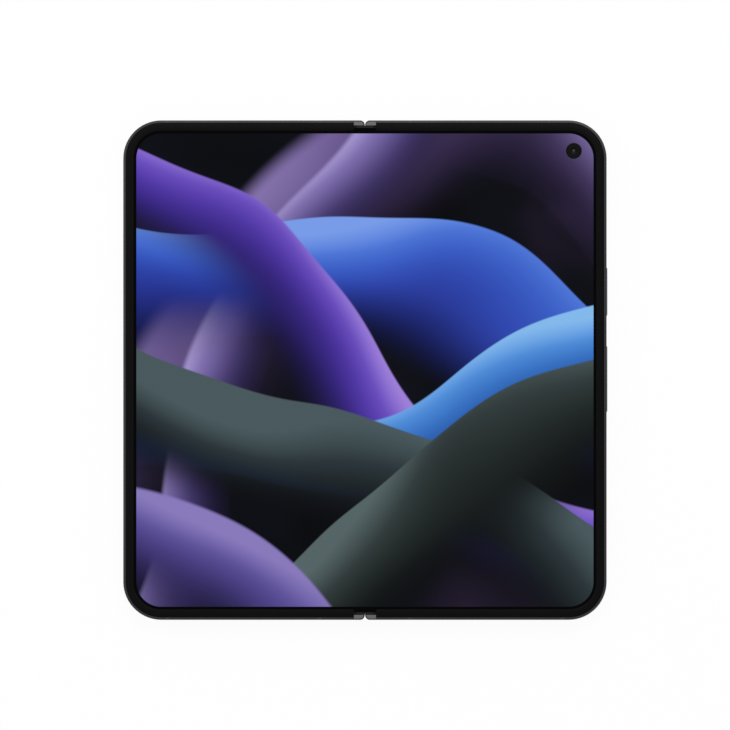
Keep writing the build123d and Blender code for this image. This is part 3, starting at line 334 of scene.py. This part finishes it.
haze = screen_light.noise(flow, 2.0, Detail=2.0)
picture = screen_light.ramp(
    haze,
    [
        (0.34, paint_colour("020306")),
        (0.50, paint_colour("070912")),
        (0.62, paint_colour("1b1426")),
        (0.76, paint_colour("54406f")),
    ],
)
# Each wave: turn of its crest line, height of the crest, swell, length, phase, depth, share of
# the sheet over which its crest blurs, then its colours from the crest down.
waves = [
    (45, 0.74, 0.030, 4.0, 0.9, 0.44, 0.050, ("a493c8", "7c6ca4", "35284e", "08070f")),
    (-40, 0.42, 0.070, 4.2, 0.4, 0.36, 0.050, ("8d7cb4", "6e5a96", "33264a", "08070f")),
    (-66, 0.30, 0.050, 4.6, 2.2, 0.20, 0.014, ("b3a4da", "7d6cb0", "33285c", "070611")),
    (14, 0.24, 0.090, 5.0, 1.3, 0.30, 0.005, ("7fa2ea", "3f6fd8", "2a37a8", "070817")),
    (38, 0.08, 0.060, 5.0, 3.4, 0.24, 0.006, ("a587dc", "5f3fc0", "2c1f74", "05050f")),
    (-6, 0.00, 0.085, 4.6, 5.0, 0.22, 0.004, ("8cc0ee", "3f86dc", "1f4a9c", "040711")),
    (24, -0.10, 0.060, 4.4, 0.4, 0.30, 0.004, ("4d5e62", "222c31", "07090c", "010203")),
    (-34, -0.25, 0.080, 4.0, 1.7, 0.34, 0.004, ("5a6a6c", "27302f", "080a0c", "010203")),
    (26, -0.47, 0.060, 5.4, 2.7, 0.26, 0.010, ("8f80c0", "56499a", "251f4c", "05050d")),
]
for turn, crest, swell, length, phase, depth, blur, colours in waves:
    centred = screen_light.node("Mapping", {"Vector": flow, "Location": (-0.5, -0.5, 0)})
    turned = screen_light.node(
        "Mapping", {"Vector": centred.outputs[0], "Rotation": (0, 0, math.radians(turn))}
    ).outputs[0]
    split = screen_light.node("SeparateXYZ", {0: turned})
    along, across = split.outputs[0], split.outputs[1]
    roll = screen_light.math("SINE", screen_light.math("MULTIPLY_ADD", along, length, phase))
    line = screen_light.math("MULTIPLY_ADD", roll, swell, crest)
    below = screen_light.math("SUBTRACT", line, across)
    soft = {"interpolation_type": "SMOOTHSTEP"}
    crest_mask = screen_light.spread(below, 0.0, blur, 0.0, 1.0, **soft)
    fade_mask = screen_light.spread(below, depth * 0.45, depth, 1.0, 0.0, **soft)
    # Broad folds, longer along the wave than across it, carry its tone up and down.
    silk = screen_light.node(
        "Mapping", {"Vector": turned, "Location": (phase, crest, 0), "Scale": (1.1, 1.9, 1)}
    ).outputs[0]
    folds = screen_light.noise(silk, 1.0, Detail=1.0, Roughness=0.35)
    sheen = screen_light.spread(folds, 0.28, 0.72, -0.34, 0.26)
    place = screen_light.math("DIVIDE", below, depth)
    place = screen_light.math("SUBTRACT", place, sheen)
    stops = [(at, paint_colour(code)) for at, code in zip((0.0, 0.22, 0.55, 0.95), colours)]
    tone = screen_light.ramp(place, stops, "B_SPLINE")
    cover = screen_light.math("MULTIPLY", crest_mask, fade_mask)
    picture = screen_light.mix(cover, picture, tone)
screen_light.feed("Emission Color", picture)

screen_edge = Recipe(
    "screen_edge", Base_Color=(0.0008, 0.0008, 0.0009, 1), Specular_IOR_Level=0.02
)
film = screen_edge.noise(screen_edge.node("TexCoord").outputs["Object"], 900.0)
screen_edge.feed("Roughness", screen_edge.spread(film, 0.0, 1.0, 0.08, 0.14))

picture_width, picture_height = 142.0, 147.0
lit_area = picture_width * picture_height * MM**2
hole_x, hole_y, hole_radius = 64.9, 68.1, 2.5
close_cuts = [0.2 * n for n in range(1, 21)]
wide_cuts = [5, 6.5, 8, 10, 13, 20, 30, 45, 60]
for side, name in ((1, "right"), (-1, "left")):
    screen = rounded_plate(
        f"screen_{name}", panel_half_width, panel_half_height, panel_radius, panel_top
    )
    bpy.ops.mesh.select_all(action="SELECT")
    bpy.ops.mesh.inset(thickness=border_width * MM, depth=0)
    pick(screen, "faces", lambda m, f: f.calc_area() > lit_area / 2)
    screen.data.materials.append(screen_edge.material)
    screen.data.materials.append(screen_light.material)
    screen.active_material_index = 1
    bpy.ops.object.material_slot_assign()
    keep_side(side, 0)
    # Close cuts where the panel bends, wide ones where it lies flat.
    for x in close_cuts + wide_cuts:
        score(side * x)
    settle(screen, 0)
    layer = screen.data.uv_layers.new(name="sheet")
    for corner in screen.data.loops:
        at = screen.data.vertices[corner.vertex_index].co / MM
        layer.data[corner.index].uv = (
            (at.x + picture_width / 2) / picture_width,
            (at.y + picture_height / 2) / picture_height,
        )
    edit(screen)
    thicken(panel_under - panel_top)
    settle(screen, 0)
    if side > 0:
        cut_out(screen, round_bar(hole_x, hole_y, panel_top, hole_radius, 4))
    settle(screen, 25)
    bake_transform(screen)
    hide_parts(f"display_{name}", "display_fold")

# ------------------------------------------------------------------ metal, plastic and inner works
# Most other pieces keep the solids' shapes. Each gets the finish of its real stock: anodised
# aluminium, turned and pressed steel, moulded plastic, glass, wrapped cells and film.


def stock(name, colour, shade, metal, rough, grain, bump, specular=0.5):
    """Plain stock, grained, clouded and unevenly glossy; grain in mm, bump in micrometres."""
    made = Recipe(name, Metallic=metal, Specular_IOR_Level=specular)
    at = made.node("TexCoord").outputs["Object"]
    clouds = made.noise(at, 40.0, Detail=4.0)
    specks = made.noise(at, 1000.0 / grain, Detail=2.0)
    both = made.math("MULTIPLY_ADD", specks, 0.5, made.math("MULTIPLY", clouds, 0.5))
    patches = made.spread(both, 0.35, 0.65, 0.0, 1.0)
    made.feed("Base Color", made.mix(patches, paint_colour(colour), paint_colour(shade)))
    made.feed("Roughness", made.spread(both, 0.3, 0.7, rough * 0.8, rough * 1.25))
    relief = made.node("Bump", {"Height": specks, "Strength": 0.35, "Distance": bump * 1e-6})
    made.feed("Normal", relief.outputs[0])
    return made.material


def dress(material, *nodes):
    """Give CAD nodes a material on their own slots."""
    for node in nodes:
        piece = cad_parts[node]
        if not piece.material_slots:
            piece.data.materials.append(material)
        for place in piece.material_slots:
            place.material = material


graphite = stock("graphite_anodised", "38383a", "323234", 1.0, 0.34, 0.06, 4)
dress(graphite, "right_frame", "left_frame", "power_button", "volume_rocker", "sim_tray")
hinge_metal = stock("hinge_polished", "6c6c6b", "5f5f5e", 1.0, 0.24, 0.08, 2)
dress(hinge_metal, "right_corner_inserts", "left_corner_inserts")
cap_metal = stock("end_cap_dark", "262627", "202021", 1.0, 0.3, 0.08, 2)
dress(cap_metal, "spine_end_caps")
spine_metal = stock("spine_polished", "505052", "48484a", 1.0, 0.2, 0.08, 2)
dress(spine_metal, "spine_cover")
plain_steel = stock("pressed_steel", "b9b8b4", "a3a29e", 1.0, 0.36, 0.12, 5)
dress(plain_steel, "hinge_bracket_top", "hinge_bracket_bottom", "bracket_screws", "hinge_pins",
      "wing_plate_right", "wing_plate_left", "centre_plate", "right_swing_arms", "left_swing_arms",
      "right_arm_screws", "left_arm_screws")
gear_steel = stock("cut_gear_steel", "a9a6a0", "8d8a84", 1.0, 0.3, 0.05, 4)
dress(gear_steel, "idler_gear_right", "idler_gear_left", "sync_arm_right", "sync_arm_left")
spring_steel = stock("blued_spring_steel", "6d6f78", "54565f", 1.0, 0.28, 0.05, 3)
dress(spring_steel, "friction_springs")
trim_black = stock("bezel_soft_black", "090909", "070707", 0.0, 0.42, 0.08, 5, specular=0.04)
dress(trim_black, "right_bezel", "left_bezel")
band_plastic = stock("antenna_band_plastic", "2c2c2e", "262628", 0.0, 0.45, 0.08, 4, specular=0.4)
dress(band_plastic, "right_antenna_bands", "left_antenna_bands")
back_glass = stock("frosted_back_glass", "3d3e41", "393a3d", 0.0, 0.42, 0.05, 3)
dress(back_glass, "back_glass", "camera_island")
gloss_black = stock("polished_black_glass", "060607", "050506", 0.0, 0.06, 0.3, 0.4)
dress(gloss_black, "cover_glass", "camera_glass")
panel_black = stock("cover_panel_black", "08080a", "060608", 0.0, 0.2, 0.2, 1)
dress(panel_black, "cover_display")
rim_metal = stock("window_rim_metal", "5b5b5e", "525255", 1.0, 0.22, 0.06, 2)
dress(rim_metal, "window_rims")
lens_black = stock("lens_barrel_black", "060607", "040405", 0.0, 0.35, 0.1, 2, specular=0.06)
dress(lens_black, "rear_camera_wide", "rear_camera_ultrawide", "rear_camera_tele",
      "front_camera", "cover_camera")
lamp = stock("lamp_diffuser_cream", "e8e2c8", "dcd4b4", 0.0, 0.3, 0.3, 30)
dress(lamp, "flash_lamp")
battery = stock("battery_wrap_black", "232427", "1d1e21", 0.0, 0.5, 0.25, 12)
dress(battery, "right_battery", "left_battery")
cans = stock("tinned_can", "b7b9ba", "a5a7a8", 1.0, 0.38, 0.2, 5)
dress(cans, "shield_cans", "sim_reader")
module_black = stock("module_moulded_black", "1b1b1d", "151517", 0.0, 0.5, 0.12, 6)
dress(module_black, "loudspeaker", "earpiece_speaker")
motor = stock("motor_case_steel", "a7a9ab", "95979a", 1.0, 0.3, 0.12, 3)
dress(motor, "haptic_motor")
magnet = stock("nickel_plated", "c2c0ba", "b0aea8", 1.0, 0.2, 0.15, 2)
dress(magnet, "right_magnets", "left_magnets")
flex = stock("flex_film_amber", "5c3a14", "4a2d0e", 0.0, 0.3, 0.3, 6)
dress(flex, "side_key_flex", "bridge_flex")
socket_steel = stock("socket_shell_steel", "8d8f91", "7b7d80", 1.0, 0.26, 0.1, 3)
dress(socket_steel, "usb_port")
tongue = stock("socket_tongue_black", "121213", "0e0e0f", 0.0, 0.4, 0.1, 3)
dress(tongue, "usb_tongue")

# ------------------------------------------------------------------ front camera
# A small wide lens looks out through the hole in the screen: a blackened barrel with a funnel
# down to its front element, which is polished and coated glass.


def polished(name, colour, low, high, **sockets):
    """Polished glass or lacquer: one body colour and a faintly uneven gloss."""
    made = Recipe(name, **sockets)
    at = made.node("TexCoord").outputs["Object"]
    smear = made.noise(at, 260.0, Detail=3.0)
    made.feed("Base Color", made.mix(smear, colour, [c * 0.7 for c in colour]))
    made.feed("Roughness", made.spread(smear, 0.3, 0.7, low, high))
    return made.material


lens_glass = polished(
    "coated_lens_glass", (0.004, 0.005, 0.012), 0.015, 0.035, Specular_IOR_Level=0.25,
    Coat_Weight=0.2, Coat_Roughness=0.02, Coat_Tint=(0.72, 0.78, 1.0, 1),
)


def dome(name, x, y, z, radius, height):
    """Lens element, a shallow dome on a flat; a negative height makes it bulge downward."""
    bpy.ops.object.select_all(action="DESELECT")
    bpy.ops.mesh.primitive_uv_sphere_add(
        segments=48, ring_count=24, radius=radius * MM, location=(x * MM, y * MM, z * MM)
    )
    lens = bpy.context.object
    lens.name = lens.data.name = name
    lens.scale.z = abs(height) / radius
    settle(lens, 0)
    edit(lens, "SELECT")
    upward = 1 if height > 0 else -1
    bpy.ops.mesh.bisect(
        plane_co=(0, 0, z * MM), plane_no=(0, 0, upward), clear_inner=True, use_fill=True
    )
    bpy.ops.mesh.select_all(action="SELECT")
    bpy.ops.mesh.normals_make_consistent(inside=False)
    settle(lens, 40)
    lens.data.materials.append(lens_glass)
    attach(lens, "right_half")
    return lens


funnel = round_bar(hole_x, hole_y, 6.82, 1.07, 0.32)
funnel.name = funnel.data.name = "front_camera_funnel"
edit(funnel)
pick(funnel, "faces", lambda m, f: f.normal.z > 0.9)
bpy.ops.mesh.inset(thickness=0.12 * MM)
bpy.ops.mesh.inset(thickness=0.42 * MM)
bpy.ops.transform.translate(value=(0, 0, -0.18 * MM))
settle(funnel)
funnel.data.materials.append(lens_black)
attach(funnel, "right_half")
dome("front_camera_element", hole_x, hole_y, 6.79, 0.5, 0.16)

# ------------------------------------------------------------------ raised trim round the screen
# A soft black moulding on each half, bonded in the frame over the screen's edge. It is crowned,
# so that it keeps the closed screens apart, and ends short of the hinge.
phone_half_width, phone_half_height, phone_corner = 75.1, 77.6, 11.8
trim_half_width, trim_half_height, trim_corner, trim_foot = 74.25, 76.75, 10.95, 7.36
trim_skin, trim_start = 0.2, 3.5
leg_inset, leg_depth = 2.2, 0.58
# Each step of the crown: width inward, then rise.
crown = ((0.30, 0.11), (1.15, 0.03), (0.70, 0.0), (0.25, -0.08))


def inset_of(at):
    """How far a point at the rim lies in from the phone's outline, in mm."""
    past_x = max(abs(at.x) - phone_half_width + phone_corner, 0)
    past_y = max(abs(at.y) - phone_half_height + phone_corner, 0)
    return phone_corner - math.hypot(past_x, past_y)


for side, name in ((1, "right"), (-1, "left")):
    trim = rounded_plate(
        f"trim_{name}", trim_half_width, trim_half_height, trim_corner, trim_foot, segments=28
    )
    bpy.ops.mesh.select_all(action="SELECT")
    for width, rise in crown:
        bpy.ops.mesh.inset(thickness=width * MM)
        bpy.ops.transform.translate(value=(0, 0, rise * MM))
    bpy.ops.mesh.delete(type="FACE")
    thicken(-trim_skin)
    # The leg that stands in the frame's recess, outside the screen.
    pick(trim, "faces", lambda m, f: f.normal.z < -0.5 and inset_of(m) < leg_inset)
    bpy.ops.mesh.extrude_region_move(TRANSFORM_OT_translate={"value": (0, 0, -leg_depth * MM)})
    keep_side(side, trim_start, fill=True)
    settle(trim, 40)
    trim.data.materials.append(trim_black)
    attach(trim, f"{name}_half")
    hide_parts(f"{name}_bezel")

# ------------------------------------------------------------------ rear camera windows and lenses
# Two pill-shaped panes, painted black behind except over the lenses and the lamp. Behind each
# clear place but the lamp's stands a lens: a step ring of bright-edged metal and a coated front
# element.
clear_glass = polished(
    "clear_cover_glass", (0.96, 0.97, 1.0), 0.008, 0.02, Transmission_Weight=1.0, IOR=1.22
)
pane_black = polished(
    "pane_painted_black", (0.0035, 0.0035, 0.004), 0.03, 0.07, Specular_IOR_Level=0.5
)
step_metal = stock("step_ring_metal", "3e3e42", "343438", 1.0, 0.24, 0.05, 2)
inner_x, outer_x = 49.1, 63.1
upper_y, lower_y = 66.1, 52.1
lens_opening, lamp_opening = 4.35, 1.65
window_low, window_depth, window_middle = 0.27, 0.42, 0.48


def is_level(edge):
    """Whether both ends of a mesh edge stand at one height."""
    return abs(edge.verts[0].co.z - edge.verts[1].co.z) < 1e-6


def turned_disc(name, x, y, z, radius, height, edge):
    """Round cover ground from glass, both rims bevelled."""
    disc = round_bar(x, y, z, radius, height)
    disc.name = disc.data.name = name
    settle(disc, 0)
    edit(disc)
    pick(disc, "edges", lambda m, e: is_level(e))
    bpy.ops.mesh.bevel(offset=edge * MM, segments=2, affect="EDGES")
    settle(disc, 30)
    return disc


for row_name, y, openings in (
    ("upper", upper_y, ((inner_x, lens_opening), (outer_x, lamp_opening))),
    ("lower", lower_y, ((inner_x, lens_opening), (outer_x, lens_opening))),
):
    pane = rounded_plate(f"window_{row_name}", 12.80, 5.80, 5.79, window_low)
    thicken(window_depth)
    bpy.ops.object.mode_set(mode="OBJECT")
    pane.location = ((inner_x + outer_x) / 2 * MM, y * MM, 0)
    settle(pane, 0)
    for x, radius in openings:
        cut_out(pane, round_bar(x, y, 0.5, radius, 2))
        cover = turned_disc(
            f"cover_{row_name}_{round(x)}", x, y, window_middle, radius - 0.02, window_depth, 0.04
        )
        cover.data.materials.append(clear_glass)
        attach(cover, "right_half")
        if radius == lens_opening:
            dome(f"lens_{row_name}_{round(x)}", x, y, 1.58, 3.3, -0.5)
            bpy.ops.object.select_all(action="DESELECT")
            bpy.ops.mesh.primitive_torus_add(
                major_segments=64, minor_segments=10, major_radius=3.85 * MM, minor_radius=0.16 * MM,
                location=(x * MM, y * MM, 1.08 * MM),
            )
            ring = bpy.context.object
            ring.name = ring.data.name = f"step_ring_{row_name}_{round(x)}"
            ring.scale.z = 0.5
            settle(ring, 60)
            ring.data.materials.append(step_metal)
            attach(ring, "right_half")
    settle(pane, 30)
    pane.data.materials.append(pane_black)
    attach(pane, "right_half")
    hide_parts("camera_glass")

# ------------------------------------------------------------------ flex between the two boards
# A polyimide ribbon with etched copper tracks. It passes through the spine and both rails, and
# bends with the hinge, so it is made as two strips that meet on the centre line.
ribbon = Recipe("ribbon_film", Specular_IOR_Level=0.5)
ribbon_at = ribbon.node("TexCoord").outputs["Object"]
tracks = ribbon.node(
    "TexWave",
    {"Vector": ribbon_at, "Scale": 390.0, "Distortion": 0.0},
    wave_type="BANDS",
    bands_direction="Y",
).outputs["Fac"]
tracks = ribbon.ramp(tracks, [(0.5, (0, 0, 0)), (0.6, (1, 1, 1))])
film_cloud = ribbon.noise(ribbon_at, 300.0, Detail=3.0)
ribbon_tone = ribbon.mix(film_cloud, paint_colour("5f3b12"), paint_colour("4b2c0c"))
ribbon.feed("Base Color", ribbon.mix(tracks, ribbon_tone, paint_colour("a0682c")))
ribbon.feed("Roughness", ribbon.spread(film_cloud, 0.0, 1.0, 0.22, 0.42))
flex_low, flex_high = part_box("bridge_flex")
for side, name in ((1, "right"), (-1, "left")):
    bpy.ops.object.select_all(action="DESELECT")
    middle = (side * flex_high.x / 2, 0, (flex_low.z + flex_high.z) / 2)
    bpy.ops.mesh.primitive_cube_add(size=1, location=middle)
    strip = bpy.context.object
    strip.name = strip.data.name = f"ribbon_{name}"
    strip.scale = (flex_high.x, flex_high.y - flex_low.y, flex_high.z - flex_low.z)
    settle(strip, 0)
    edit(strip)
    far, edge = flex_high.x / MM, flex_high.y / MM
    pick(strip, "edges", lambda m, e: side * m.x > far - 0.1 and abs(abs(m.y) - edge) < 0.01)
    bpy.ops.mesh.bevel(offset=1.6 * MM, segments=6, affect="EDGES")
    for n in range(1, 26):
        score(side * n * 0.2)
    settle(strip, 30)
    strip.data.materials.append(ribbon.material)
    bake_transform(strip)
    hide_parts("bridge_flex")

# ------------------------------------------------------------------ coil and boards
# The charging coil is enamelled copper wire, wound flat in close turns on a dark ferrite sheet. Its
# copper carries painted shade between the turns and a painted highlight on each turn's crown.
# The boards are lacquered green over etched tracks, with bright plated pads.
coil_low, coil_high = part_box("charging_coil")
coil_middle = (coil_low + coil_high) / 2
winding = Recipe("wound_flat_copper", Metallic=1.0)
wire_at = winding.node(
    "Mapping",
    {
        "Vector": winding.node("TexCoord").outputs["Object"],
        "Location": (-coil_middle.x, -coil_middle.y, 0),
    },
).outputs[0]
turns = winding.node(
    "TexWave", {"Vector": wire_at, "Scale": 785.0}, wave_type="RINGS", rings_direction="Z"
).outputs["Fac"]
# Painted shade darkens the copper down between the turns, and a painted highlight lightens each
# crown.
wire_shade_and_highlight_tones = ((0.05, "3a1d0e"), (0.35, "a85f33"), (1.0, "c98152"))
wire_stops = [(at, paint_colour(code)) for at, code in wire_shade_and_highlight_tones]
winding.feed("Base Color", winding.ramp(turns, wire_stops))
winding.feed("Roughness", winding.spread(turns, 0.0, 1.0, 0.5, 0.28))
wire_relief = winding.node("Bump", {"Height": turns, "Strength": 0.6, "Distance": 0.0001})
winding.feed("Normal", wire_relief.outputs[0])
dress(winding.material, "charging_coil")

etched = Recipe("etched_board", Specular_IOR_Level=0.5)
etch_at = etched.node("TexCoord").outputs["Object"]
routes = etched.node(
    "TexVoronoi", {"Vector": etch_at, "Scale": 520.0}, feature="DISTANCE_TO_EDGE"
).outputs["Distance"]
pads = etched.node(
    "TexVoronoi", {"Vector": etch_at, "Scale": 700.0}, feature="F1"
).outputs["Distance"]
route_mask = etched.ramp(routes, [(0.03, (1, 1, 1)), (0.07, (0, 0, 0))])
lacquer = etched.mix(route_mask, paint_colour("0f3a26"), paint_colour("2c6a44"))
plated = etched.ramp(pads, [(0.10, (1, 1, 1)), (0.14, (0, 0, 0))])
etched.feed("Base Color", etched.mix(plated, lacquer, paint_colour("c8b98a")))
etched.feed("Metallic", plated)
etched.feed("Roughness", etched.spread(routes, 0.0, 0.3, 0.5, 0.32))
dress(etched.material, "main_board", "left_board")

# ------------------------------------------------------------------ back panes
# Each half's back is one pane of toughened glass, bonded in the frame, with its rim ground
# round: frosted from behind on the right, and clear over the black outer screen on the left.
cover_lacquer = polished(
    "outer_screen_glass", (0.0025, 0.0025, 0.003), 0.03, 0.07, Specular_IOR_Level=0.22
)
cover_eye = (-37.55, 69.6)
pane_face, pane_depth, pane_start = 2.401, 0.645, 4.05
for name, side, finish, slot_name, node, openings in (
    ("back_pane", 1, back_glass, "back_glass_finish", "back_glass",
     ((inner_x, upper_y, 4.9), (inner_x, lower_y, 4.9), (outer_x, lower_y, 4.9),
      (outer_x, upper_y, 1.45))),
    ("cover_pane", -1, cover_lacquer, "cover_glass_finish", "cover_glass", ((*cover_eye, 1.9),)),
):
    pane = rounded_plate(name, 74.05, 76.55, 10.75, pane_face, segments=28)
    keep_side(side, pane_start)
    thicken(pane_depth)
    pick(pane, "edges", lambda m, e: abs(m.z - pane_face) < 0.01 and is_level(e))
    bpy.ops.mesh.bevel(offset=0.28 * MM, segments=5, affect="EDGES")
    settle(pane, 0)
    for x, y, radius in openings:
        cut_out(pane, round_bar(x, y, 2.7, radius, 3))
    settle(pane, 30)
    pane.data.materials.append(finish)
    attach(pane, "right_half" if side > 0 else "left_half")
    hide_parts(node)

# The outer screen's camera eye: a clear disc flush with the glass over a small lens.
eye = turned_disc("cover_eye_glass", *cover_eye, 2.58, 1.88, 0.34, 0.03)
eye.data.materials.append(clear_glass)
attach(eye, "left_half")
eye_lens = dome("cover_eye_lens", *cover_eye, 3.02, 0.9, -0.22)
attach(eye_lens, "left_half")

# ------------------------------------------------------------------ socket contacts
# Twelve gold-plated contacts lie on each face of the socket's tongue, at half a millimetre.
tongue_low, tongue_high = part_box("usb_tongue")
tongue_half, contact_pitch = 0.35, 0.5
gold = stock("contact_gold", "c9a04e", "b98f3e", 1.0, 0.25, 0.05, 2)
first_contact = (
    (tongue_low.x + tongue_high.x) / 2 - 5.5 * contact_pitch * MM,
    tongue_low.y + 2.1 * MM,
    (tongue_low.z + tongue_high.z) / 2 + tongue_half * MM,
)
bpy.ops.object.select_all(action="DESELECT")
bpy.ops.mesh.primitive_cube_add(size=1, location=first_contact)
contacts = bpy.context.object
contacts.name = contacts.data.name = "socket_contacts"
contacts.scale = (0.26 * MM, 3.2 * MM, 0.04 * MM)
settle(contacts, 0)
edit(contacts, "SELECT")
bpy.ops.mesh.bevel(offset=0.012 * MM, segments=1, affect="EDGES")
settle(contacts, 0)
for pattern, count, step in (
    ("pitch", 12, (contact_pitch * MM, 0, 0)),
    ("two_faces", 2, (0, 0, -2 * tongue_half * MM)),
):
    copies = contacts.modifiers.new(pattern, "ARRAY")
    copies.use_relative_offset = False
    copies.use_constant_offset = True
    copies.constant_offset_displace = step
    copies.count = count
    bpy.ops.object.modifier_apply(modifier=copies.name)
settle(contacts, 30)
contacts.data.materials.append(gold)
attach(contacts, "right_half")
